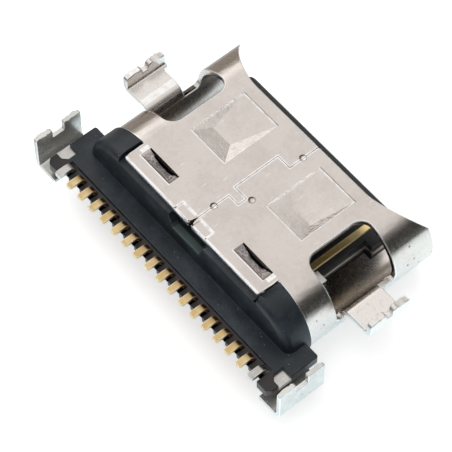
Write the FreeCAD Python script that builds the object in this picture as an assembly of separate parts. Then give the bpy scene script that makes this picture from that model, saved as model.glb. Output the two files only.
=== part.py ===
import FreeCAD, Part
import os
from math import hypot, tan, atan2, pi

# A mid-mount socket, lying on the flat side of its shell with the board side up.
# X runs across it, Y from the mouth (-Y) to the solder tails (+Y), Z up. Millimetres.
# The origin is in the middle of the footprint, on the surface that the shell lies on.

# overall
overall_length = 6.77            # mouth plane to the tips of the solder tails
leg_span = 10.90                 # over the outside of the upturned legs
solder_height = 1.85             # board face of the tails and the front tabs
fit_gap = 0.02                   # between pieces that are pushed together
overrun = 0.20                   # how far cuts and roots reach past the faces that they meet

# outer shell, a stamped and rolled sheet
mouth_width = 8.34
mouth_height = 2.56
shell_sheet = 0.20
shell_length = 4.62              # mouth plane to the collar
lip_depth = 0.89                 # the board side of the mouth is cut back this far
lip_half_width = 3.36            # where the sloping ends of the cut meet its edge
lip_mouth_half_width = 4.11      # where they reach the mouth plane
lip_radius = 2.30
flap_length = 0.71               # rear flap, past the end of the shell
flap_half_width = 2.94
flap_corner = 0.12
seam_gap = 0.015
seam_rear_x = 0.04               # the seam's three stretches, from the flap to the lip
seam_middle_x = 0.14
seam_front_x = -0.37
key_front = 3.58                 # the lock between the rear and the middle stretch
key_rear = 3.88
step_place = 1.98                # where the seam steps over to the front stretch
seam_notch_half_width = 0.08
seam_notch_depth = 0.36
coin_length = 0.34               # a coined pad on each side of the notch
coin_width = 0.56
coin_depth = 0.03
punch_radius = 0.14              # punch marks beside the seam
punch_depth = 0.06
punch_places = ((0.04, 4.43), (-0.50, 3.49), (-0.36, 1.48))    # (x, depth behind the mouth)

# side windows and front tabs of the shell
window_front = 1.45
window_rear = 3.64
window_edge = 2.88               # half distance between the windows, on the top
window_corner = 0.40
window_foot_corner = 0.18        # the lower corners, in the side wall
tab_front = 2.10
tab_rear = 3.38
tab_bend = 0.30                  # centre line radius where the tab leaves the wall
prong_bend = 0.16
prong_height = 0.52              # over the board face of the tab
prong_front_step = 0.18          # the upturned wall is this much wider in front
prong_notch_front = 2.58
prong_notch_rear = 2.78
prong_notch_floor = 0.28         # over the board face of the tab
prong_round = 0.20

# contact dimples pressed into the board side of the shell
dimple_front = 1.33
dimple_rear = 3.29
dimple_inner = 0.93
dimple_outer = 2.38
dimple_floor_inner = 1.36
dimple_floor_outer = 2.12
dimple_floor_rear = 2.72
dimple_step = 0.02               # a shallow step all round the dimple
dimple_depth = 0.13
dimple_bulge = 0.08

# latches of the rear flap, sheared along their front edge and pressed down into the body
latch_inner = 1.40
latch_outer = 2.66
latch_low_inner = 1.80           # between these two, the front edge is pressed down fully
latch_low_outer = 2.20
latch_shear = 4.60               # the sheared edge
latch_hinge = 4.93               # the edge that stays in the flap
latch_press = 0.26
latch_sheet = 0.14               # the pressed sheet gets thinner
latch_gap = 0.05                 # between the sheared edge and the flap

# insulator body
cavity_depth = 4.20              # mouth plane to the face that the tongue stands on
collar_proud = 0.05
collar_rear = 5.50
collar_round = 0.26
notch_half_width = 0.56          # notch in the middle of the collar's top, at its floor
notch_lean = 0.20                # each end of it leans outwards this much
notch_floor = 2.28
notch_front = 5.05
ledge_top = 1.68
ledge_bottom = 1.33
ledge_half_width = 4.93
ledge_front = 4.82
ledge_corner = 0.08
block_half_width = 4.40
block_bottom = 0.72
block_rear = 6.09
comb_top = 1.60                  # the comb that the tails rise out of is lower than the ledge
comb_bottom = 1.36
comb_root = 6.22                 # it is closed up to here, and its teeth reach further
comb_rear = 6.48
post_inner = 4.41
post_rear = 6.64
post_chamfer = 0.14
patch_front = 5.80
patch_rear = 6.26
patch_inner = 4.56
patch_chamfer = 0.14

# tongue
tongue_width = 6.69
tongue_thickness = 0.70
tongue_tip = 0.22
tongue_corner = 0.26
tongue_bevel = 0.07
waist_front = 1.46               # the plug's latches sit in the narrow waist of the tongue
waist_rear = 3.36
waist_depth = 0.285
base_front = 3.30
base_thickness = 1.16
base_width = 7.20

# middle plate between the two rows of contacts
plate_sheet = 0.15
plate_proud = 0.04
plate_tip = 0.46
plate_rear = 4.96
arm_width = 0.20
arm_inner = 4.02

# leg plate under the contacts, with the two rear legs
leg_sheet = 0.15
leg_plate_top = 1.05
leg_front = 5.05
leg_rear = 6.68
leg_top = 2.28
leg_bend = 0.20
leg_notch_front = 5.66
leg_notch_rear = 6.08
leg_notch_floor = 1.88
leg_round = 0.05
leg_inner = 4.56
web_front = 5.46
web_rear = 5.90

# shield sheets on the foot of the tongue
shield_sheet = 0.10
shield_front = 3.42
shield_wing_reach = 0.16         # a small wing at each end reaches this far ahead
shield_wing_width = 0.40

# contacts
contact_pitch = 0.50
contact_sheet = 0.12
contact_width = 0.23
contact_proud = 0.02
contact_tip = 0.92
contact_nose = 0.14
fan_front = 3.50                 # the contacts spread out to the pitch of the tails
fan_rear = 4.90                  # between these two depths
fall_front = 5.02
fall_rear = 5.26
rise_front = 6.18
rise_rear = 6.30
contact_bend = 0.14
tail_chamfer = 0.03
pitch_counts = (-5.5, -2.5, -1.5, -0.5, 0.5, 1.5, 2.5, 5.5)    # blades, from the middle

# worked out
shell_width = mouth_width + 2 * shell_sheet
shell_height = mouth_height + 2 * shell_sheet
mid_height = shell_height / 2
leg_face = leg_span / 2
contact_half = contact_width / 2
tail_count = 2 * len(pitch_counts)


def deep(distance):
    """Y of a point that lies this far behind the mouth plane."""
    return distance - overall_length / 2


def at_plane(plane, level, u, v):
    """Point of a drawing plane that stands at the given level."""
    if plane == "xy":
        return FreeCAD.Vector(u, v, level)
    if plane == "xz":
        return FreeCAD.Vector(u, level, v)
    return FreeCAD.Vector(level, u, v)


def outline(plane, level, corners):
    """Closed wire through corners (u, v, radius), each rounded by its radius."""
    arcs = []
    for index, (u, v, radius) in enumerate(corners):
        before = corners[index - 1]
        after = corners[(index + 1) % len(corners)]
        back = (before[0] - u, before[1] - v)
        ahead = (after[0] - u, after[1] - v)
        back_length = hypot(*back)
        ahead_length = hypot(*ahead)
        back = (back[0] / back_length, back[1] / back_length)
        ahead = (ahead[0] / ahead_length, ahead[1] / ahead_length)
        between = abs(atan2(back[0] * ahead[1] - back[1] * ahead[0],
                            back[0] * ahead[0] + back[1] * ahead[1]))
        if radius <= 0 or abs(between - pi) < 1e-6:
            arcs.append([(u, v)])
            continue
        reach = radius / tan(between / 2)
        half = (back[0] + ahead[0], back[1] + ahead[1])
        half_length = hypot(*half)
        centre_reach = hypot(radius, reach)
        centre = (u + half[0] / half_length * centre_reach,
                  v + half[1] / half_length * centre_reach)
        middle = (centre[0] - half[0] / half_length * radius,
                  centre[1] - half[1] / half_length * radius)
        arcs.append([(u + back[0] * reach, v + back[1] * reach), middle,
                     (u + ahead[0] * reach, v + ahead[1] * reach)])
    edges = []
    for index, arc in enumerate(arcs):
        points = [at_plane(plane, level, *point) for point in arc]
        if len(points) == 3:
            edges.append(Part.Arc(*points).toShape())
        start = points[-1]
        end = at_plane(plane, level, *arcs[(index + 1) % len(arcs)][0])
        if start.distanceToPoint(end) > 1e-6:
            edges.append(Part.makeLine(start, end))
    return Part.Wire(edges)


def prism(plane, corners, start, end):
    """Solid with the outline of the corners, from one level to another."""
    along = at_plane(plane, end - start, 0, 0)
    return Part.Face(outline(plane, start, corners)).extrude(along)


def block(x0, x1, y0, y1, z0, z1):
    """Box between two corners."""
    return Part.makeBox(x1 - x0, y1 - y0, z1 - z0, FreeCAD.Vector(x0, y0, z0))


def rectangle(u0, u1, v0, v1, radius=0):
    """Corners of a rectangle, all with one radius."""
    return [(u0, v0, radius), (u1, v0, radius), (u1, v1, radius), (u0, v1, radius)]


def strip(path, thickness):
    """Corners of a bent strip along a path of (u, v, centre line radius)."""
    left = []
    right = []
    for index, (u, v, radius) in enumerate(path):
        before = path[max(index - 1, 0)]
        after = path[min(index + 1, len(path) - 1)]
        near = (u - before[0], v - before[1]) if index else (after[0] - u, after[1] - v)
        far = (after[0] - u, after[1] - v) if index < len(path) - 1 else near
        near_length = hypot(*near)
        far_length = hypot(*far)
        near = (near[0] / near_length, near[1] / near_length)
        far = (far[0] / far_length, far[1] / far_length)
        turn = atan2(near[0] * far[1] - near[1] * far[0], near[0] * far[0] + near[1] * far[1])
        reach = thickness / 2 * tan(turn / 2)
        side = (-near[1] * thickness / 2, near[0] * thickness / 2)
        swing = thickness / 2 if turn > 0 else -thickness / 2
        left_radius = max(radius - swing, 0) if radius else 0
        right_radius = max(radius + swing, 0) if radius else 0
        left.append((u + side[0] - near[0] * reach, v + side[1] - near[1] * reach, left_radius))
        right.append((u - side[0] + near[0] * reach, v - side[1] + near[1] * reach, right_radius))
    return left + right[::-1]


def obround(width, height, rear, front=0.0):
    """Solid of the mouth's form, between two depths."""
    corners = rectangle(-width / 2, width / 2, mid_height - height / 2,
                        mid_height + height / 2, height / 2)
    return prism("xz", corners, deep(front), deep(rear))


def other_side(shape):
    """Mirror image across the middle plane."""
    return shape.mirror(FreeCAD.Vector(0, 0, 0), FreeCAD.Vector(1, 0, 0))


def both_sides(shape):
    """The shape and its mirror image."""
    return [shape, other_side(shape)]


def joined(shape, pieces):
    """The shape with the pieces added, one after another."""
    for piece in pieces:
        shape = shape.fuse(piece)
    return shape


def carved(shape, cuts):
    """The shape with the cuts taken out, one after another."""
    for cut in cuts:
        shape = shape.cut(cut)
    return shape


def whole(shape):
    """One clean solid out of a boolean result."""
    return shape.removeSplitter().Solids[0]


def wedge(front, rear, floor_rear, inner, outer, floor_inner, floor_outer, top, depth):
    """Dent between a rectangular rim and a short straight line at its floor."""
    rim = [(inner, front), (outer, front), (outer, rear), (inner, rear)]
    a, b, c, d = [FreeCAD.Vector(x, deep(y), top) for x, y in rim]
    e = FreeCAD.Vector(floor_inner, deep(floor_rear), top - depth)
    f = FreeCAD.Vector(floor_outer, deep(floor_rear), top - depth)
    faces = [Part.Face(Part.makePolygon(ring + ring[:1]))
             for ring in ([a, b, c, d], [a, e, f, b], [b, f, c], [c, f, e, d], [d, e, a])]
    return Part.Solid(Part.Shell(faces))


# outer shell

def lip_cut():
    """Stock taken off the board side of the mouth, sweeping out to a tip at each end."""
    slope = (lip_mouth_half_width - lip_half_width) / lip_depth
    outside = lip_mouth_half_width + slope * overrun
    ahead = deep(-overrun)
    corners = [(-outside, ahead, 0), (outside, ahead, 0),
               (lip_half_width, deep(lip_depth), lip_radius),
               (-lip_half_width, deep(lip_depth), lip_radius)]
    return prism("xy", corners, mid_height, shell_height + overrun)


def seam_cut():
    """Locked seam of the rolled sheet, as a narrow gap through the top."""
    start = shell_length + flap_length + overrun
    path = [(seam_rear_x, deep(start), 0), (seam_rear_x, deep(key_rear), 0),
            (seam_front_x, deep(key_rear), 0), (seam_front_x, deep(key_front), 0),
            (seam_middle_x, deep(key_front), 0), (seam_middle_x, deep(step_place), 0),
            (seam_front_x, deep(step_place), 0), (seam_front_x, deep(lip_depth - overrun), 0)]
    return prism("xy", strip(path, seam_gap), shell_height - shell_sheet - overrun,
                 shell_height + overrun)


def coin_cuts():
    """Coined pads at the end of the flap, one on each side of the seam's notch."""
    end = shell_length + flap_length
    pads = []
    for side in (-1, 1):
        near = seam_rear_x + side * (seam_notch_half_width + fit_gap)
        ends = sorted((near, near + side * coin_width))
        pads.append(block(ends[0], ends[1], deep(end - coin_length), deep(end + overrun),
                          shell_height - coin_depth, shell_height + overrun))
    return pads


def punch_cuts():
    """Round punch marks that close the seam."""
    height = shell_height + punch_radius - punch_depth
    return [Part.makeSphere(punch_radius, FreeCAD.Vector(x, deep(depth), height))
            for x, depth in punch_places]


def window_cut():
    """Side window, with round corners both in the top and in the side wall."""
    outside = shell_width / 2 + overrun
    above = shell_height + overrun
    plan = [(window_edge, deep(window_front), window_corner), (outside, deep(window_front), 0),
            (outside, deep(window_rear), 0), (window_edge, deep(window_rear), window_corner)]
    side = [(deep(window_front), tab_bend_line(), window_foot_corner),
            (deep(window_rear), tab_bend_line(), window_foot_corner),
            (deep(window_rear), above, 0), (deep(window_front), above, 0)]
    return prism("xy", plan, tab_bend_line(), above).common(prism("yz", side, 0, outside))


def tab_bend_line():
    """Height at which the tab starts to leave the side wall."""
    return solder_height - shell_sheet / 2 - tab_bend


def front_tab():
    """Tab of the side wall, folded outwards and up into two prongs."""
    wall_middle = (shell_width - shell_sheet) / 2
    flat = solder_height - shell_sheet / 2
    prong = leg_face - shell_sheet / 2
    top = solder_height + prong_height
    path = [(wall_middle, tab_bend_line(), 0), (wall_middle, flat, tab_bend),
            (prong, flat, prong_bend), (prong, top, 0)]
    front = tab_front - prong_front_step
    sheet = prism("xz", strip(path, shell_sheet), deep(front), deep(tab_rear))
    floor = solder_height + prong_notch_floor
    low = tab_bend_line()
    face = [(deep(front), low, 0), (deep(tab_rear), low, 0), (deep(tab_rear), top, prong_round),
            (deep(prong_notch_rear), top, prong_round / 2), (deep(prong_notch_rear), floor, 0),
            (deep(prong_notch_front), floor, 0), (deep(prong_notch_front), top, prong_round),
            (deep(front), top, prong_round)]
    plan_step = block(0, prong - shell_sheet, deep(front), deep(tab_front), low, top)
    return sheet.common(prism("yz", face, 0, leg_span)).cut(plan_step)


def pressed_latch(top, depth):
    """Space of one pressed latch under the given level, open along its sheared edge."""
    return wedge(latch_shear, latch_hinge, latch_shear, latch_inner, latch_outer,
                 latch_low_inner, latch_low_outer, top, depth)


def shear_cut():
    """Gap in front of the sheared edge of one latch."""
    return block(latch_inner, latch_outer, deep(latch_shear - latch_gap), deep(latch_shear),
                 shell_height - shell_sheet - overrun, shell_height + overrun)


def dimple(top, depth):
    """Space of one dimple under the given level."""
    return wedge(dimple_front, dimple_rear, dimple_floor_rear, dimple_inner, dimple_outer,
                 dimple_floor_inner, dimple_floor_outer, top, depth)


def dimple_step_cut():
    """Shallow step all round one dimple."""
    return block(dimple_inner, dimple_outer, deep(dimple_front), deep(dimple_rear),
                 shell_height - dimple_step, shell_height + overrun)


def flap_keep():
    """Space that the sheet keeps: the shell's length and the rear flap."""
    body = block(-shell_width, shell_width, deep(0), deep(shell_length), 0, shell_height)
    end = shell_length + flap_length
    corners = [(-flap_half_width, deep(shell_length), 0), (flap_half_width, deep(shell_length), 0),
               (flap_half_width, deep(end), flap_corner),
               (seam_rear_x + seam_notch_half_width, deep(end), seam_notch_half_width / 2),
               (seam_rear_x, deep(end - seam_notch_depth), 0),
               (seam_rear_x - seam_notch_half_width, deep(end), seam_notch_half_width / 2),
               (-flap_half_width, deep(end), flap_corner)]
    return joined(body, [prism("xy", corners, mid_height, shell_height)])


def make_outer_shell():
    """Shell with lip, windows, tabs, dimples, seam and rear flap."""
    end = shell_length + flap_length
    inside = obround(mouth_width, mouth_height, end + overrun, -overrun)
    shell = obround(shell_width, shell_height, end).cut(inside).common(flap_keep())
    under = shell_height - shell_sheet
    low_side = [dimple(under, dimple_bulge),
                pressed_latch(under, latch_press - shell_sheet + latch_sheet)]
    one_side = [dimple_step_cut(), dimple(shell_height - dimple_step, dimple_depth - dimple_step),
                pressed_latch(shell_height, latch_press), shear_cut(), window_cut()]
    for shape in low_side:
        shell = joined(shell, both_sides(shape))
    cuts = [lip_cut(), seam_cut()] + coin_cuts() + punch_cuts()
    for shape in one_side:
        cuts += both_sides(shape)
    return whole(joined(carved(shell, cuts), both_sides(front_tab())))


# contacts

def contact_height(row):
    """Middle of the contact's sheet on the tongue, for row 1 (board side) or -1."""
    return mid_height + row * (tongue_thickness / 2 + contact_proud - contact_sheet / 2)


def tail_place(row, number):
    """X of a solder tail: the two rows take turns along the edge."""
    order = 2 * number + (0 if row > 0 else 1)
    return (order - (tail_count - 1) / 2) * contact_pitch


def make_contact(row, number):
    """One contact: blade on the tongue, fan to the tail pitch, fall, rise and foot."""
    tongue_x = pitch_counts[number] * contact_pitch
    tail_x = tail_place(row, number)
    level = contact_height(row)
    plan = strip([(tongue_x, deep(contact_tip + contact_nose), 0), (tongue_x, deep(fan_front), 0),
                  (tail_x, deep(fan_rear), 0), (tail_x, deep(fall_front), 0)], contact_width)
    blade = prism("xy", plan, level - contact_sheet / 2, level + contact_sheet / 2)
    nose = prism("xy", [(tongue_x - contact_half, deep(contact_tip + contact_nose), 0),
                        (tongue_x - contact_half / 2, deep(contact_tip), 0),
                        (tongue_x + contact_half / 2, deep(contact_tip), 0),
                        (tongue_x + contact_half, deep(contact_tip + contact_nose), 0)],
                 level - contact_sheet / 2, level + contact_sheet / 2)
    foot = solder_height - contact_sheet / 2
    side = strip([(deep(fall_front), level, 0), (deep(fall_rear), mid_height, 0),
                  (deep(rise_front), mid_height, contact_bend),
                  (deep(rise_rear), foot, contact_bend),
                  (deep(overall_length), foot, 0)], contact_sheet)
    tail = prism("yz", side, tail_x - contact_half, tail_x + contact_half)
    return whole(carved(joined(blade, [nose, tail]), tip_chamfers(tail_x)))


def tip_chamfers(tail_x):
    """Corners taken off the end of a tail."""
    end = deep(overall_length)
    cuts = []
    for side in (-1, 1):
        edge = tail_x + side * contact_half
        corners = [(edge, end - 2 * tail_chamfer, 0), (edge + side * tail_chamfer, end, 0),
                   (edge - side * tail_chamfer, end, 0)]
        cuts.append(prism("xy", corners, mid_height, solder_height + overrun))
    return cuts


# middle plate

def tongue_outline(grow, tip, rear):
    """Plan of the tongue with its waist."""
    half = tongue_width / 2 + grow
    waist = half - waist_depth
    right = [(half, deep(tip), tongue_corner), (half, deep(waist_front), 0),
             (waist, deep(waist_front), 0), (waist, deep(waist_rear), 0),
             (half, deep(waist_rear), 0), (half, deep(rear), 0)]
    left = [(-x, y, radius) for x, y, radius in reversed(right)]
    return right + left


def plate_arm():
    """Arm from the plate to the patch in the ledge, with its solder tail."""
    low = mid_height - plate_sheet / 2
    high = mid_height + plate_sheet / 2
    tail_x = (tail_count + 1) / 2 * contact_pitch
    reach = block(tongue_width / 2 - fit_gap, tail_x + contact_half, deep(plate_rear - arm_width),
                  deep(plate_rear), low, high)
    arm = block(arm_inner, tail_x + contact_half, deep(plate_rear - arm_width),
                deep(rise_front), low, high)
    patch = prism("xy", rectangle(tail_x, ledge_half_width, deep(patch_front),
                                  deep(patch_rear), 0), low, high)
    foot = solder_height - plate_sheet / 2
    side = strip([(deep(rise_front - plate_sheet), mid_height, 0),
                  (deep(rise_front), mid_height, contact_bend), (deep(rise_rear), foot, contact_bend),
                  (deep(overall_length), foot, 0)], plate_sheet)
    tail = prism("yz", side, tail_x - contact_half, tail_x + contact_half)
    return joined(reach, [arm, patch, carved(tail, tip_chamfers(tail_x))])


def make_middle_plate():
    """Plate between the contact rows, seen at the sides of the tongue."""
    plate = prism("xy", tongue_outline(plate_proud, plate_tip, plate_rear),
                  mid_height - plate_sheet / 2, mid_height + plate_sheet / 2)
    return whole(joined(plate, both_sides(plate_arm())))


# leg plate

def rear_leg():
    """Upturned side of the leg plate with two prongs."""
    middle = leg_plate_top - leg_sheet / 2
    wall = leg_face - leg_sheet / 2
    sheet = prism("xz", strip([(leg_inner, middle, 0), (wall, middle, leg_bend),
                               (wall, leg_top, 0)], leg_sheet), deep(leg_front), deep(leg_rear))
    low = leg_plate_top - leg_sheet
    face = [(deep(leg_front), low, leg_round), (deep(leg_rear), low, 0),
            (deep(leg_rear), leg_top, leg_round), (deep(leg_notch_rear), leg_top, leg_round),
            (deep(leg_notch_rear), leg_notch_floor, 0),
            (deep(leg_notch_front), leg_notch_floor, leg_round),
            (deep(leg_notch_front), leg_top, leg_round), (deep(leg_front), leg_top, leg_round)]
    return sheet.common(prism("yz", face, 0, leg_span))


def make_leg_plate():
    """Plate under the contacts with a leg at each end."""
    web = block(-leg_inner, leg_inner, deep(web_front), deep(web_rear),
                leg_plate_top - leg_sheet, leg_plate_top)
    return whole(joined(web, both_sides(rear_leg())))


# insulator body

def collar_solid():
    """Ring behind the shell, as wide as the shell and a little more, flat below."""
    collar = obround(shell_width + 2 * collar_proud, shell_height + 2 * collar_proud,
                     collar_rear, shell_length)
    rear_edges = [edge for edge in collar.Edges
                  if all(abs(v.Point.y - deep(collar_rear)) < fit_gap / 2 for v in edge.Vertexes)]
    collar = collar.makeFillet(collar_round, rear_edges)
    ground = block(-shell_width, shell_width, deep(0), deep(overall_length),
                   -shell_height, 0)
    recess = block(-flap_half_width - collar_proud, flap_half_width + collar_proud,
                   deep(shell_length), deep(collar_rear + overrun),
                   shell_height - shell_sheet, shell_height + overrun)
    return carved(collar, [ground, recess])


def core_solid():
    """Plug that fills the rear of the shell and carries the tongue."""
    return obround(mouth_width - 2 * fit_gap, mouth_height - 2 * fit_gap,
                   shell_length + overrun, cavity_depth)


def ledge_solid():
    """Ledge along the tails, with a notch over each plate patch and a post behind it."""
    right = [(ledge_half_width, deep(ledge_front), ledge_corner),
             (ledge_half_width, deep(patch_front), 0), (patch_inner, deep(patch_front), 0),
             (patch_inner, deep(patch_rear - patch_chamfer), 0),
             (patch_inner + patch_chamfer, deep(patch_rear), 0),
             (ledge_half_width, deep(patch_rear), 0),
             (ledge_half_width, deep(post_rear - post_chamfer), 0),
             (ledge_half_width - post_chamfer, deep(post_rear), 0), (post_inner, deep(post_rear), 0),
             (post_inner, deep(block_rear), 0)]
    left = [(-x, y, radius) for x, y, radius in reversed(right)]
    return prism("xy", right + left, ledge_bottom, ledge_top)


def patch_floor():
    """Plastic under the plate patches, inside the notches of the ledge."""
    return block(patch_inner - overrun, ledge_half_width, deep(patch_front - overrun),
                 deep(patch_rear + overrun), ledge_bottom, mid_height - plate_sheet / 2)


def comb_pieces():
    """Comb behind the ledge: its root and the teeth that fill the gaps between the tails."""
    half = tail_count * contact_pitch / 2
    tooth_half = contact_pitch / 2 - contact_half
    pieces = [block(-half, half, deep(block_rear - overrun), deep(comb_root), comb_bottom, comb_top)]
    for gap in range(tail_count + 1):
        x = gap * contact_pitch - half
        pieces.append(block(x - tooth_half, x + tooth_half, deep(block_rear - overrun),
                            deep(comb_rear), comb_bottom, comb_top))
    return pieces


def collar_notch():
    """Notch across the top of the collar, open to the rear and reaching under the flap."""
    top = shell_height - shell_sheet
    wide = notch_half_width + notch_lean
    corners = [(-notch_half_width, notch_floor, 0), (notch_half_width, notch_floor, 0),
               (wide, top, 0), (-wide, top, 0)]
    return prism("xz", corners, deep(notch_front), deep(collar_rear + overrun))


def latch_pocket():
    """Room for one pressed latch of the flap."""
    floor = shell_height - latch_press - latch_sheet - fit_gap
    return block(latch_inner - fit_gap, latch_outer + fit_gap, deep(latch_shear - latch_gap),
                 deep(latch_hinge + fit_gap), floor, shell_height)


def make_insulator_body(inserts):
    """Moulded body: core, collar, rear block, ledge and comb around the metal."""
    rear_block = block(-block_half_width, block_half_width, deep(collar_rear - collar_round * 2),
                       deep(block_rear), block_bottom, ledge_top)
    body = joined(collar_solid(), [core_solid(), rear_block, ledge_solid()]
                  + both_sides(patch_floor()) + comb_pieces())
    return whole(carved(body, both_sides(latch_pocket()) + [collar_notch()] + inserts))


# tongue

def tongue_body():
    """Blade of the tongue with its thicker foot."""
    low = mid_height - tongue_thickness / 2
    high = mid_height + tongue_thickness / 2
    blade = prism("xy", tongue_outline(0, tongue_tip, cavity_depth), low, high)
    nose = [(deep(tongue_tip), low + tongue_bevel, 0), (deep(tongue_tip + tongue_bevel), low, 0),
            (deep(cavity_depth), low, 0), (deep(cavity_depth), high, 0),
            (deep(tongue_tip + tongue_bevel), high, 0), (deep(tongue_tip), high - tongue_bevel, 0)]
    blade = blade.common(prism("yz", nose, -tongue_width / 2, tongue_width / 2))
    foot = prism("xz", rectangle(-base_width / 2, base_width / 2, mid_height - base_thickness / 2,
                                 mid_height + base_thickness / 2, tongue_bevel * 2),
                 deep(base_front), deep(cavity_depth))
    return joined(blade, [foot])


def make_tongue(inserts):
    """Tongue moulded around both contact rows and the middle plate."""
    return whole(carved(tongue_body(), inserts))


def make_shield(row):
    """Sheet on the foot of the tongue that meets the plug's springs."""
    face = mid_height + row * base_thickness / 2
    edge = face + row * shield_sheet
    half = base_width / 2 - tongue_bevel * 2
    low = min(face, edge)
    high = max(face, edge)
    sheet = block(-half, half, deep(shield_front), deep(cavity_depth), low, high)
    wing = block(half - shield_wing_width, half, deep(shield_front - shield_wing_reach),
                 deep(shield_front), low, high)
    return whole(joined(sheet, both_sides(wing)))


def main():
    os.makedirs("parts", exist_ok=True)
    parts = {"outer_shell": make_outer_shell(), "middle_plate": make_middle_plate(),
             "leg_plate": make_leg_plate()}
    contacts = {}
    for row, side in ((1, "upper"), (-1, "lower")):
        for number in range(len(pitch_counts)):
            contacts[f"{side}_contact_{number + 1}"] = make_contact(row, number)
        parts[f"{side}_shield"] = make_shield(row)
    metal = list(contacts.values()) + [parts["middle_plate"]]
    parts["tongue"] = make_tongue(metal)
    parts["insulator_body"] = make_insulator_body(metal + [parts["leg_plate"]])
    parts.update(contacts)
    for name, shape in parts.items():
        shape.exportStep(f"parts/{name}.step")
        print(name, shape.isValid(), len(shape.Solids), round(shape.Volume, 4))


main()
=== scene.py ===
import math

import bmesh
import bpy
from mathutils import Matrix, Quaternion, Vector, noise


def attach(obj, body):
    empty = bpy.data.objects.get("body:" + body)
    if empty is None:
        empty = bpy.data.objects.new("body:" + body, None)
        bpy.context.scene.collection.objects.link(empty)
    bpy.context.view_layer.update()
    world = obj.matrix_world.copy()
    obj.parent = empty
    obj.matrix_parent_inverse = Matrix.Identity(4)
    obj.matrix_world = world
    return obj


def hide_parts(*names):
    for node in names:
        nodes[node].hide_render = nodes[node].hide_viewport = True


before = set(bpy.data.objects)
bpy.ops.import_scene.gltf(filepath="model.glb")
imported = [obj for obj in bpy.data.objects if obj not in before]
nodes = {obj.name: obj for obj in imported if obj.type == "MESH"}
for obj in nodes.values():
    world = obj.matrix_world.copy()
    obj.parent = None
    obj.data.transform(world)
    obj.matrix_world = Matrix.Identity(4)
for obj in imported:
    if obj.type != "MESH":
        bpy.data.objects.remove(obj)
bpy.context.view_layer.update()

mm = 0.001


# Node maths

class Wire:  # a socket of a material, so that node maths reads as plain maths
    def __init__(self, tree, socket):
        self.tree = tree
        self.socket = socket

    def node(self, kind, settings=None, inputs=None, output=0):
        made = self.tree.nodes.new(kind)
        for name, value in (settings or {}).items():
            setattr(made, name, value)
        for name, value in (inputs or {}).items():
            if isinstance(value, Wire):
                self.tree.links.new(value.socket, made.inputs[name])
            else:
                made.inputs[name].default_value = value
        return Wire(self.tree, made.outputs[output])

    def maths(self, operation, first, second=0.0):
        return self.node("ShaderNodeMath", {"operation": operation}, {0: first, 1: second})

    def __add__(self, other):
        return self.maths("ADD", self, other)

    def __radd__(self, other):
        return self.maths("ADD", other, self)

    def __sub__(self, other):
        return self.maths("SUBTRACT", self, other)

    def __rsub__(self, other):
        return self.maths("SUBTRACT", other, self)

    def __mul__(self, other):
        return self.maths("MULTIPLY", self, other)

    def __rmul__(self, other):
        return self.maths("MULTIPLY", other, self)

    def larger(self, other):
        return self.maths("MAXIMUM", self, other)

    def size(self):  # without its sign
        return self.maths("ABSOLUTE", self)

    def smooth(self, low, high):  # 0 below low, 1 above high, eased between them
        return self.node("ShaderNodeMapRange", {"interpolation_type": "SMOOTHSTEP"},
                         {"Value": self, "From Min": low, "From Max": high})

    def part(self, axis):  # one coordinate of a vector
        return self.node("ShaderNodeSeparateXYZ", {}, {0: self}, axis)

    def stretched(self, scale):  # a vector, scaled along each axis
        return self.node("ShaderNodeVectorMath", {"operation": "MULTIPLY"}, {0: self, 1: scale})

    def noise(self, scale, detail, roughness):
        return self.node("ShaderNodeTexNoise", {},
                         {"Vector": self, "Scale": scale, "Detail": detail, "Roughness": roughness})

    def specks(self, scale):  # distance to the nearest of many scattered points
        return self.node("ShaderNodeTexVoronoi", {}, {"Vector": self, "Scale": scale})

    def blend(self, first, second):  # colour, from first where self is 0 to second where it is 1
        return self.node("ShaderNodeMix", {"data_type": "RGBA"},
                         {"Factor": self, 6: first, 7: second}, 2)

    def bump(self, strength, depth, over=None):  # depth in millimetres, over another bump
        inputs = {"Height": self, "Strength": strength, "Distance": depth * mm}
        if over:
            inputs["Normal"] = over
        return self.node("ShaderNodeBump", {}, inputs)


def newMaterial(name):  # a material, its shader and its Object coordinates in millimetres
    material = bpy.data.materials.new(name)
    material.use_nodes = True
    tree = material.node_tree
    shader = tree.nodes["Principled BSDF"]
    place = Wire(tree, None).node("ShaderNodeTexCoord", {}, {}, "Object")
    return material, shader, place.stretched((1 / mm, 1 / mm, 1 / mm))


def plug(wire, shader, name):
    wire.tree.links.new(wire.socket, shader.inputs[name])


def shade(colour):
    return (*colour, 1.0)


# Where the shell gets painted highlight lines, crumples and painted shade, in millimetres, with depths
# behind the mouth

mouth = -3.385  # Y of the mouth plane
lineHalf = 0.02  # half the width of a painted highlight line
seam = {"rear": 0.04, "middle": 0.14, "front": -0.37, "keyFront": 3.58, "keyRear": 3.88,
        "step": 1.98, "start": 0.89, "end": 4.97}
dimple = {"front": 1.33, "rear": 3.29, "inner": 0.93, "outer": 2.38}
flap = {"start": 4.62, "end": 5.33, "halfWidth": 2.94, "edge": 0.03,
        "coin": 4.99, "coinInner": 0.10, "coinOuter": 0.66}
latch = {"front": 4.58, "rear": 4.93, "inner": 1.40, "outer": 2.66,
         "rimOut": 0.08, "rimShort": 0.10, "rimHalf": 0.05, "rearOut": 0.01}
tab = {"front": 2.10, "rear": 3.38, "root": 4.58, "half": 0.09}


def across(x0, x1, depth, half=lineHalf):  # a line that runs along X
    return (min(x0, x1), max(x0, x1), mouth + depth - half, mouth + depth + half)


def along(x, front, rear, half=lineHalf):  # a line that runs along Y
    return (x - half, x + half, mouth + front, mouth + rear)


def boxOf(side, form):  # a dimple or a latch, on one side of the seam
    ends = sorted((side * form["inner"], side * form["outer"]))
    return (ends[0], ends[1], mouth + form["front"], mouth + form["rear"])


# lines that get a painted highlight: the seam, the flap and coin edges, the tab bends, the dimple
# outlines and the latch ends
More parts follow.
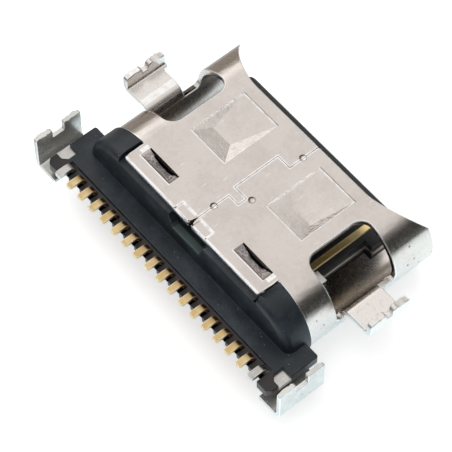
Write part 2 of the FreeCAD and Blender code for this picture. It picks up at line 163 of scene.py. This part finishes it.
highlightLines = [along(seam["rear"], seam["keyRear"], seam["end"]),
             across(seam["front"], seam["rear"], seam["keyRear"]),
             along(seam["front"], seam["keyFront"], seam["keyRear"]),
             across(seam["front"], seam["middle"], seam["keyFront"]),
             along(seam["middle"], seam["step"], seam["keyFront"]),
             across(seam["front"], seam["middle"], seam["step"]),
             along(seam["front"], seam["start"], seam["step"]),
             across(-flap["halfWidth"], flap["halfWidth"], flap["end"] - flap["edge"], flap["edge"]),
             along(tab["root"], tab["front"], tab["rear"], tab["half"])]
latchBoxes = []
dimpleBoxes = []
for side in (-1, 1):
    inner = side * dimple["inner"]
    outer = side * dimple["outer"]
    nearSeam = seam["rear"] + side * flap["coinInner"]
    farSeam = seam["rear"] + side * flap["coinOuter"]
    latchEnd = side * latch["outer"]
    rimEnd = side * (latch["outer"] + latch["rimOut"])
    highlightLines += [along(inner, dimple["front"], dimple["rear"], 0.0),
                  along(outer, dimple["front"], dimple["rear"], 0.0),
                  across(inner, outer, dimple["front"], 0.0),
                  across(inner, outer, dimple["rear"], 0.0),
                  across(nearSeam, farSeam, flap["coin"]),
                  along(farSeam, flap["coin"], flap["end"]),
                  along(side * flap["halfWidth"], flap["start"], flap["end"]),
                  along(rimEnd, latch["front"], latch["rear"] - latch["rimShort"], latch["rimHalf"]),
                  across(side * latch["inner"], latchEnd, latch["rear"] + latch["rearOut"], 0.0)]
    dimpleBoxes.append(boxOf(side, dimple))
    latchBoxes.append(boxOf(side, latch))


def nearLines(place, lines, reach):  # 1 on thin boxes (x0, x1, y0, y1), 0 past their reach
    x = place.part(0)
    y = place.part(1)
    mask = None
    for x0, x1, y0, y1 in lines:
        outX = (x - (x0 + x1) / 2).size() - (x1 - x0) / 2
        outY = (y - (y0 + y1) / 2).size() - (y1 - y0) / 2
        near = 1.0 - outX.larger(outY).smooth(0.0, reach)
        mask = mask.larger(near) if mask else near
    return mask


# Nickel: each noise is scale, detail and roughness, each stretch is along X, Y and Z,
# and a pair is where a mark starts and where it is full

nickel = {"colour": (0.70, 0.65, 0.61), "dull": (0.63, 0.58, 0.545), "dulled": (0.40, 0.66),
          "metal": 1.0, "roughness": 0.20, "uneven": 0.08, "fineUneven": 0.05,
          "cloudNoise": (1.1, 4.0, 0.5), "mottleNoise": (7.0, 5.0, 0.65), "fineNoise": (42.0, 3.0, 0.6),
          "rolledStretch": (26.0, 1.6, 26.0), "rolledNoise": (1.0, 3.0, 0.5),
          "grainStrength": 0.5, "grain": 0.0007,
          "scratch": (0.88, 0.86, 0.84), "scratchStretch": (9.0, 1.1, 1.0),
          "scratchNoise": (1.6, 1.5, 0.5), "scratched": (0.24, 0.30), "scratchShare": 0.5}
# lighter tabs in patches, painted highlight lines in the bright colour, pits, crumples, and painted
# shade with painted glints in the sunken latches
shellWearAndLight = {"bright": (0.98, 0.97, 0.96), "reach": 0.045, "patchNoise": (5.0, 3.0, 0.6),
        "patchy": (0.32, 0.55), "leastBright": 0.35, "rise": 0.006, "riseStrength": 0.5, "lumpy": 0.2,
        "tab": (0.83, 0.79, 0.755), "tabStart": (4.30, 4.55), "tabPatchy": (0.25, 0.5),
        "pit": (0.16, 0.15, 0.15), "pitScale": 3.3, "pitSize": (0.07, 0.15),
        "pitted": (3.95, 4.10), "pittedTo": (4.36, 4.42), "crumpleNoise": (3.2, 4.0, 0.7),
        "crumpleReach": 0.05, "crumple": 0.030, "crumpleStrength": 0.7,
        "grime": (0.24, 0.195, 0.20), "sparkle": (0.78, 0.73, 0.72), "grimeNoise": (16.0, 4.0, 0.7),
        "sparkling": (0.40, 0.62), "dirt": 0.7, "dirtReach": 0.01, "dirtTop": (2.88, 2.95)}


def wearAndLightOnShell(place, mottle, colour, normal, values):  # also gives where the latches get painted shade
    onTab = place.part(0).size().smooth(*values["tabStart"]) * mottle.smooth(*values["tabPatchy"])
    colour = onTab.blend(colour, shade(values["tab"]))
    least = values["leastBright"]
    patchy = least + place.noise(*values["patchNoise"]).smooth(*values["patchy"]) * (1 - least)
    # painted highlight: near-white lines along the seam, the rims and the pressed edges
    paintedHighlight = nearLines(place, highlightLines, values["reach"]) * patchy
    colour = paintedHighlight.blend(colour, shade(values["bright"]))
    lumps = paintedHighlight + mottle * values["lumpy"]
    normal = lumps.bump(values["riseStrength"], values["rise"], normal)
    pits = 1.0 - place.specks(values["pitScale"]).smooth(*values["pitSize"])
    left = 0.0 - place.part(0)
    onFlank = left.smooth(*values["pitted"]) * (1.0 - left.smooth(*values["pittedTo"]))
    colour = (pits * onFlank).blend(colour, shade(values["pit"]))
    inDimple = nearLines(place, dimpleBoxes, values["crumpleReach"])
    crumpled = inDimple * place.noise(*values["crumpleNoise"])
    normal = crumpled.bump(values["crumpleStrength"], values["crumple"], normal)
    # painted shade with painted glints: darker low in the sunken latches
    sunken = 1.0 - place.part(2).smooth(*values["dirtTop"])
    paintedShade = nearLines(place, latchBoxes, values["dirtReach"]) * sunken
    grime = place.noise(*values["grimeNoise"]).smooth(*values["sparkling"])
    colour = paintedShade.blend(colour, grime.blend(shade(values["grime"]), shade(values["sparkle"])))
    return colour, normal, paintedShade


def nickelMaterial(name, values, wearAndLight=None):
    material, shader, place = newMaterial(name)
    cloud = place.noise(*values["cloudNoise"])
    mottle = place.noise(*values["mottleNoise"])
    rolled = place.stretched(values["rolledStretch"]).noise(*values["rolledNoise"])
    fine = place.noise(*values["fineNoise"])
    tired = (cloud * 0.6 + mottle * 0.4).smooth(*values["dulled"])
    colour = tired.blend(shade(values["colour"]), shade(values["dull"]))
    streaks = place.stretched(values["scratchStretch"]).noise(*values["scratchNoise"])
    scratch = 1.0 - streaks.smooth(*values["scratched"])
    colour = (scratch * values["scratchShare"]).blend(colour, shade(values["scratch"]))
    roughness = values["roughness"] + mottle * values["uneven"] + fine * values["fineUneven"]
    height = rolled * 0.4 + fine * 0.35 + mottle * 0.25
    normal = height.bump(values["grainStrength"], values["grain"])
    shader.inputs["Metallic"].default_value = values["metal"]
    if wearAndLight:
        colour, normal, paintedShade = wearAndLightOnShell(place, mottle, colour, normal, wearAndLight)
        # the painted shade in the latches also makes the metal there less metallic
        plug(values["metal"] - paintedShade * wearAndLight["dirt"], shader, "Metallic")
    plug(colour, shader, "Base Color")
    plug(roughness, shader, "Roughness")
    plug(normal, shader, "Normal")
    return material


shellNickel = nickelMaterial("shellNickel", nickel, shellWearAndLight)
# near-white nickel for the rounded rims: a painted highlight
rimNickel = nickelMaterial("rimNickel", {**nickel, "colour": (0.97, 0.97, 0.97), "metal": 0.85,
                                         "dull": (0.84, 0.84, 0.84), "roughness": 0.22})
legNickel = nickelMaterial("legNickel", {**nickel, "colour": (0.80, 0.79, 0.76), "metal": 0.70,
                                         "dull": (0.64, 0.64, 0.61), "roughness": 0.16,
                                         "uneven": 0.14, "grain": 0.003})
plateSteel = nickelMaterial("plateSteel", {**nickel, "colour": (0.62, 0.605, 0.58),
                                           "dull": (0.50, 0.48, 0.455), "roughness": 0.24})


# Gold of the contacts: lighter inside the shell with a painted sheen, and brown where the tails leave
# the comb with painted shade

gold = {"colour": (0.64, 0.455, 0.20), "pale": (0.76, 0.58, 0.31), "paled": (0.35, 0.7),
        "fresh": (0.95, 0.75, 0.38), "inside": (2.0, 2.4), "brown": (0.30, 0.19, 0.09),
        "root": (2.85, 3.16), "metal": 1.0, "roughness": 0.24, "uneven": 0.12,
        "cloudNoise": (3.5, 3.0, 0.5), "fineNoise": (48.0, 3.0, 0.6),
        "drawnStretch": (60.0, 2.5, 60.0), "drawnNoise": (1.0, 2.0, 0.5),
        "grainStrength": 0.5, "grain": 0.0012}


def goldMaterial(name, values):
    material, shader, place = newMaterial(name)
    cloud = place.noise(*values["cloudNoise"])
    fine = place.noise(*values["fineNoise"])
    drawn = place.stretched(values["drawnStretch"]).noise(*values["drawnNoise"])
    colour = cloud.smooth(*values["paled"]).blend(shade(values["colour"]), shade(values["pale"]))
    # painted sheen: lighter gold inside the shell
    inside = 1.0 - place.part(1).smooth(*values["inside"])
    colour = inside.blend(colour, shade(values["fresh"]))
    # painted shade: brown at the tails where they bend down into the comb and reflect the dark ledge
    unshaded = place.part(1).smooth(*values["root"]).larger(inside)
    plug(unshaded.blend(shade(values["brown"]), colour), shader, "Base Color")
    plug(values["roughness"] + fine * values["uneven"], shader, "Roughness")
    height = drawn * 0.6 + fine * 0.4
    plug(height.bump(values["grainStrength"], values["grain"]), shader, "Normal")
    shader.inputs["Metallic"].default_value = values["metal"]
    return material


contactGold = goldMaterial("contactGold", gold)
# pale gold for the rounded rims of the contacts: a painted highlight
rimGold = goldMaterial("rimGold", {**gold, "colour": (0.93, 0.80, 0.55), "roughness": 0.36,
                                   "pale": (0.98, 0.90, 0.72), "metal": 0.35})


# Black resin: scuffed, with fine grain, dust, lint and grit; browner in the comb with painted shade and
# a painted reflection of the gold, and lighter on the notch floor with painted light

resin = {"colour": (0.0085, 0.0135, 0.0195), "scuffed": (0.034, 0.048, 0.062), "scuffs": (0.46, 0.66),
         "roughness": 0.34, "uneven": 0.16, "skinStrength": 0.6, "skinDepth": 0.006,
         "cloudNoise": (1.4, 4.0, 0.6), "skinNoise": (30.0, 4.0, 0.7),
         "grainNoise": (38.0, 3.0, 0.8), "grained": (0.50, 0.72), "grainShare": 0.55,
         "speck": (0.30, 0.36, 0.40), "dustScale": 5.0, "dustSize": (0.02, 0.09),
         "lintNoise": (9.0, 2.0, 0.5), "lintSize": (0.20, 0.27), "lintShare": 0.35,
         "gritScale": 13.0, "gritSize": (0.04, 0.15), "gritShare": 0.22,
         "comb": (0.022, 0.0165, 0.0175), "combFrom": (2.70, 2.74)}
# painted light on the notch floor behind the collar's rear face, which the flap shades
notch = {"box": (-0.60, 0.60, 1.90, 2.20), "reach": 0.02, "height": (2.1, 2.25),
         "green": (0.060, 0.090, 0.085)}


def resinMaterial(name, values, litNotch=None):
    material, shader, place = newMaterial(name)
    cloud = place.noise(*values["cloudNoise"])
    skin = place.noise(*values["skinNoise"])
    scuff = (cloud * 0.55 + skin * 0.45).smooth(*values["scuffs"])
    colour = scuff.blend(shade(values["colour"]), shade(values["scuffed"]))
    grain = place.noise(*values["grainNoise"]).smooth(*values["grained"])
    colour = (grain * values["grainShare"]).blend(colour, shade(values["scuffed"]))
    dust = 1.0 - place.specks(values["dustScale"]).smooth(*values["dustSize"])
    lint = 1.0 - place.noise(*values["lintNoise"]).smooth(*values["lintSize"])
    grit = 1.0 - place.specks(values["gritScale"]).smooth(*values["gritSize"])
    dust = dust.larger(lint * values["lintShare"]).larger(grit * values["gritShare"])
    colour = dust.blend(colour, shade(values["speck"]))
    # painted light: the notch floor made lighter and greenish
    if litNotch:
        above = place.part(2).smooth(*litNotch["height"])
        inNotch = nearLines(place, [litNotch["box"]], litNotch["reach"]) * above
        colour = inNotch.blend(colour, shade(litNotch["green"]))
    # painted shade with a painted brown reflection of the gold tails: one flat browner colour over the
    # comb
    inComb = place.part(1).smooth(*values["combFrom"])
    plug(inComb.blend(colour, shade(values["comb"])), shader, "Base Color")
    plug(values["roughness"] + skin * values["uneven"], shader, "Roughness")
    height = skin * 0.7 + cloud * 0.3
    plug(height.bump(values["skinStrength"], values["skinDepth"]), shader, "Normal")
    return material


bodyResin = resinMaterial("bodyResin", resin, notch)
tongueResin = resinMaterial("tongueResin", {**resin, "colour": (0.010, 0.010, 0.012),
                                            "scuffed": (0.022, 0.023, 0.026), "roughness": 0.30})

finishes = {"outer_shell": shellNickel, "leg_plate": legNickel, "middle_plate": plateSteel,
            "upper_shield": plateSteel, "lower_shield": plateSteel,
            "insulator_body": bodyResin, "tongue": tongueResin}
for name, node in nodes.items():
    node.data.materials.clear()
    node.data.materials.append(contactGold if "contact" in name else finishes[name])
print("materials: done")


# Pieces with rounded rims: widths in millimetres, angles in degrees

rims = {"outer_shell": {"width": 0.036, "sharp": 38, "segments": 2, "torn": 5},
        "leg_plate": {"width": 0.024, "sharp": 38, "segments": 2, "torn": 7},
        "insulator_body": {"width": 0.028, "sharp": 38, "segments": 2},
        "middle_plate": {"width": 0.012, "sharp": 38, "segments": 2},
        "tongue": {"width": 0.020, "sharp": 38, "segments": 2}}
contactRim = {"width": 0.028, "sharp": 60, "segments": 2}
# the rounded rims of the metal pieces take a painted highlight material
rimHighlights = {"outer_shell": rimNickel, "leg_plate": rimNickel, "middle_plate": rimNickel}
for name in nodes:
    if "contact" in name:
        rims[name] = contactRim
        rimHighlights[name] = rimGold
joined = {"distance": 0.0004, "angle": 0.6}  # loose triangles closer and flatter than this
roundedShare = 0.38  # of the narrowest face at an edge, at most
pressedForms = {"halfWidth": 2.70, "front": -2.40, "rear": 1.90, "height": 2.55}  # kept crisp
tears = {"outside": 5.15, "band": 0.06, "shortest": 0.15, "reach": 0.06, "often": 5.0, "seed": 7.0,
         "least": 0.5}
flatWithin = 2.5  # between two faces of a pressed form that still read as one flat face
curvedWithin = 50.0  # between two faces elsewhere that read as one curved wall


def mergedCopy(name):  # a CAD piece again, with its loose triangles joined into whole faces
    bpy.ops.object.select_all(action="DESELECT")
    nodes[name].select_set(True)
    bpy.context.view_layer.objects.active = nodes[name]
    bpy.ops.object.duplicate()
    piece = bpy.context.object
    bpy.ops.object.mode_set(mode="EDIT")
    bpy.ops.mesh.select_all(action="SELECT")
    bpy.ops.mesh.remove_doubles(threshold=joined["distance"] * mm)
    bpy.ops.mesh.dissolve_limited(angle_limit=math.radians(joined["angle"]), delimit=set())
    bpy.ops.object.mode_set(mode="OBJECT")
    return piece


def pressed(edge):  # an edge of the seam, the punch marks, the dimples or the latches
    middle = (edge.verts[0].co + edge.verts[1].co) / 2 / mm
    return (abs(middle.x) < pressedForms["halfWidth"] and middle.z > pressedForms["height"]
            and pressedForms["front"] < middle.y < pressedForms["rear"])


def tearTops(piece, values):  # the sheared tops of the legs and prongs, uneven along their length
    sheet = bmesh.new()
    sheet.from_mesh(piece.data)
    outside = [vertex for vertex in sheet.verts if abs(vertex.co.x) > tears["outside"] * mm]
    top = max(vertex.co.z for vertex in outside) - tears["band"] * mm
    long = [edge for edge in sheet.edges if all(vertex.co.z > top for vertex in edge.verts)
            and abs(edge.verts[0].co.y - edge.verts[1].co.y) > tears["shortest"] * mm]
    bmesh.ops.bisect_edges(sheet, edges=long, cuts=values["torn"])
    for vertex in sheet.verts:
        if abs(vertex.co.x) > tears["outside"] * mm and vertex.co.z > top:
            ragged = noise.noise(Vector((vertex.co.y * tears["often"] / mm, tears["seed"], 0.0)))
            vertex.co.z -= tears["reach"] * mm * max(0.0, tears["least"] + ragged)
    sheet.to_mesh(piece.data)
    sheet.free()


def weighRims(piece, values):  # how much of the width each sharp edge can take
    sheet = bmesh.new()
    sheet.from_mesh(piece.data)
    weights = sheet.edges.layers.float.new("bevel_weight_edge")
    sharp = math.radians(values["sharp"])
    for edge in sheet.edges:
        if len(edge.link_faces) == 2 and edge.calc_face_angle(0) > sharp and not pressed(edge):
            room = min(face.calc_area() / edge.calc_length() for face in edge.link_faces)
            edge[weights] = min(1.0, room * roundedShare / (values["width"] * mm))
    sheet.to_mesh(piece.data)
    sheet.free()


def creaseEdges(piece):  # curved walls and rims are smooth, and pressed forms keep flat facets
    sheet = bmesh.new()
    sheet.from_mesh(piece.data)
    for face in sheet.faces:
        face.smooth = True
    for edge in sheet.edges:
        limit = flatWithin if pressed(edge) else curvedWithin
        edge.smooth = edge.calc_face_angle(0) < math.radians(limit)
    sheet.to_mesh(piece.data)
    sheet.free()


def keepInside(piece, name):  # rims stay in the box of the CAD piece
    low = Vector(nodes[name].bound_box[0])
    high = Vector(nodes[name].bound_box[6])  # the corner across from the first
    for vertex in piece.data.vertices:
        for axis in range(3):
            vertex.co[axis] = max(low[axis], min(high[axis], vertex.co[axis]))


def roundRims(name, values):
    piece = mergedCopy(name)
    if "torn" in values:
        tearTops(piece, values)
    weighRims(piece, values)
    creaseEdges(piece)
    bpy.ops.object.modifier_add(type="BEVEL")
    rim = piece.modifiers[-1]
    rim.limit_method = "WEIGHT"
    rim.width = values["width"] * mm
    rim.segments = values["segments"]
    rim.use_clamp_overlap = False
    rim.loop_slide = False
    rim.harden_normals = True
    rim.material = len(piece.data.materials)
    piece.data.materials.append(rimHighlights.get(name, piece.data.materials[0]))
    bpy.ops.object.modifier_apply(modifier=rim.name)
    keepInside(piece, name)
    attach(piece, "root")
    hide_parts(name)
    return piece


for name, values in rims.items():
    made = roundRims(name, values)
    made.name = "rounded" + "".join(word.capitalize() for word in name.split("_"))
    print("rounded:", made.name, len(made.data.polygons))


# Floor and light

stage = {"size": 0.6, "roughness": 0.8, "colour": (0.90, 0.935, 0.955), "glow": (0.52, 0.504, 0.497),
         "mirror": (0.48, 0.60, 0.654), "farColour": (0.28, 0.245, 0.225),
         "farMirror": (0.07, 0.060, 0.052), "far": (4.0, 9.0)}
sky = {"low": (0.034, 0.035, 0.030), "lowEast": (0.26, 0.225, 0.18), "west": -0.35, "east": 0.35,
       "high": (0.98, 0.965, 0.955), "dusk": 0.63, "noon": 0.83, "lean": 0.36,
       "ahead": (0.55, 0.54, 0.53), "aheadFrom": 0.45, "aheadTo": 0.78,
       "bright": (1.52, 1.50, 1.48), "brightFrom": 0.55, "brightTo": 0.75}
lamps = [{"name": "topBox", "at": (0.02, 0.02, 0.27), "size": 0.14, "power": 0.09,
          "colour": (1.0, 0.98, 0.96)},
         {"name": "sideBox", "at": (0.26, -0.10, 0.155), "size": 0.14, "power": 0.085,
          "colour": (1.0, 0.985, 0.97)},
         {"name": "lowBox", "at": (-0.24, 0.06, 0.05), "size": 0.12, "power": 0.03,
          "colour": (0.86, 0.95, 1.0)}]
black = (0.0, 0.0, 0.0)
white = (1.0, 1.0, 1.0)


def floorMaterial(values):  # pale to the eye, and darker in reflections of its +X side
    material, shader, place = newMaterial("floor")
    shader.inputs["Roughness"].default_value = values["roughness"]
    seen = place.node("ShaderNodeLightPath", {}, {}, "Is Camera Ray")
    mirrored = place.node("ShaderNodeLightPath", {}, {}, "Is Glossy Ray")
    far = place.part(0).smooth(*values["far"])
    colour = (far * mirrored).blend(shade(values["colour"]), shade(values["farColour"]))
    plug(colour, shader, "Base Color")
    mirror = far.blend(shade(values["mirror"]), shade(values["farMirror"]))
    glow = seen.blend(mirrored.blend(shade(black), mirror), shade(values["glow"]))
    plug(glow, shader, "Emission Color")
    shader.inputs["Emission Strength"].default_value = 1.0
    return material


bpy.ops.mesh.primitive_plane_add(size=stage["size"])
floor = bpy.context.object
floor.name = "floor"
floor.data.materials.append(floorMaterial(stage))


def skyWorld(values):  # white to the eye, and for the object a pale dome over a dark horizon
    world = bpy.data.worlds.new("studio")
    world.use_nodes = True
    bpy.context.scene.world = world
    tree = world.node_tree
    direction = Wire(tree, None).node("ShaderNodeTexCoord", {}, {}, "Generated")
    east = direction.part(0)
    up = direction.part(2)
    side = east.smooth(values["west"], values["east"])
    low = side.blend(shade(values["low"]), shade(values["lowEast"]))
    ahead = (0.0 - direction.part(1)).smooth(values["aheadFrom"], values["aheadTo"])
    high = ahead.blend(shade(values["high"]), shade(values["ahead"]))
    lit = east.smooth(values["brightFrom"], values["brightTo"]).blend(high, shade(values["bright"]))
    light = (up + side * values["lean"]).smooth(values["dusk"], values["noon"])
    seen = direction.node("ShaderNodeLightPath", {}, {}, "Is Camera Ray")
    plug(seen.blend(light.blend(low, lit), shade(white)), tree.nodes["Background"], "Color")


skyWorld(sky)
for lamp in lamps:
    data = bpy.data.lights.new(lamp["name"], "AREA")
    data.size = lamp["size"]
    data.energy = lamp["power"]
    data.color = lamp["colour"]
    light = bpy.data.objects.new(lamp["name"], data)
    light.location = lamp["at"]
    light.visible_glossy = False
    light.rotation_mode = "QUATERNION"
    light.rotation_quaternion = Vector(lamp["at"]).to_track_quat("Z", "Y")
    bpy.context.scene.collection.objects.link(light)
print("stage: done")


# Camera

camera = {"azimuth": 229.88, "elevation": 59.247, "roll": 0.099, "distance": 70.785 * mm,
          "aim": (-0.013 * mm, 0.641 * mm, 1.5 * mm), "lens": 197.95, "sensor": 36.0,
          "near": 0.1, "far": 100}  # near and far are shares of the distance


def placeCamera(values):
    turn = math.radians(values["azimuth"])
    rise = math.radians(values["elevation"])
    back = Vector((math.sin(turn) * math.cos(rise), -math.cos(turn) * math.cos(rise),
                   math.sin(rise)))
    data = bpy.data.cameras.new("camera")
    data.lens = values["lens"]
    data.sensor_width = values["sensor"]
    data.clip_start = values["distance"] * values["near"]
    data.clip_end = values["distance"] * values["far"]
    made = bpy.data.objects.new("camera", data)
    made.location = Vector(values["aim"]) + back * values["distance"]
    made.rotation_mode = "QUATERNION"
    made.rotation_quaternion = (-back).to_track_quat("-Z", "Y") @ Quaternion(
        (0, 0, 1), math.radians(values["roll"]))
    bpy.context.scene.collection.objects.link(made)
    bpy.context.scene.camera = made


placeCamera(camera)
bpy.context.scene.view_settings.view_transform = "Standard"
print("camera: done")
